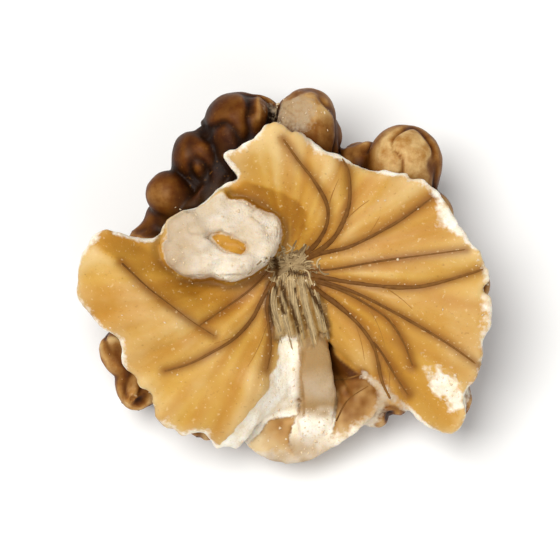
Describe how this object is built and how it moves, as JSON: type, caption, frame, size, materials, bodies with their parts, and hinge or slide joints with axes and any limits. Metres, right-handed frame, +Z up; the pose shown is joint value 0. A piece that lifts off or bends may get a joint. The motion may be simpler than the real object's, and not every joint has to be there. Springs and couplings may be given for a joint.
{
  "type": "walnut kernel",
  "caption": "Half of a shelled walnut kernel on its folded back: scalloped, veined inner face with a central scar, a broken oval bridge, a notch and a slanting break.",
  "frame": {"origin": "middle of the kernel's outline on the plane that it rests on", "axes": "+X across the kernel towards the broad fan of the inner face, +Y towards the petal above the bridge, away from the notch, +Z up, out of the inner face"},
  "size_m": [0.0342, 0.031, 0.0158],
  "materials": {
    "walnut_skin": null
  },
  "bodies": {
    "root": {"walnut_kernel": "walnut_skin"}
  },
  "joints": []
}
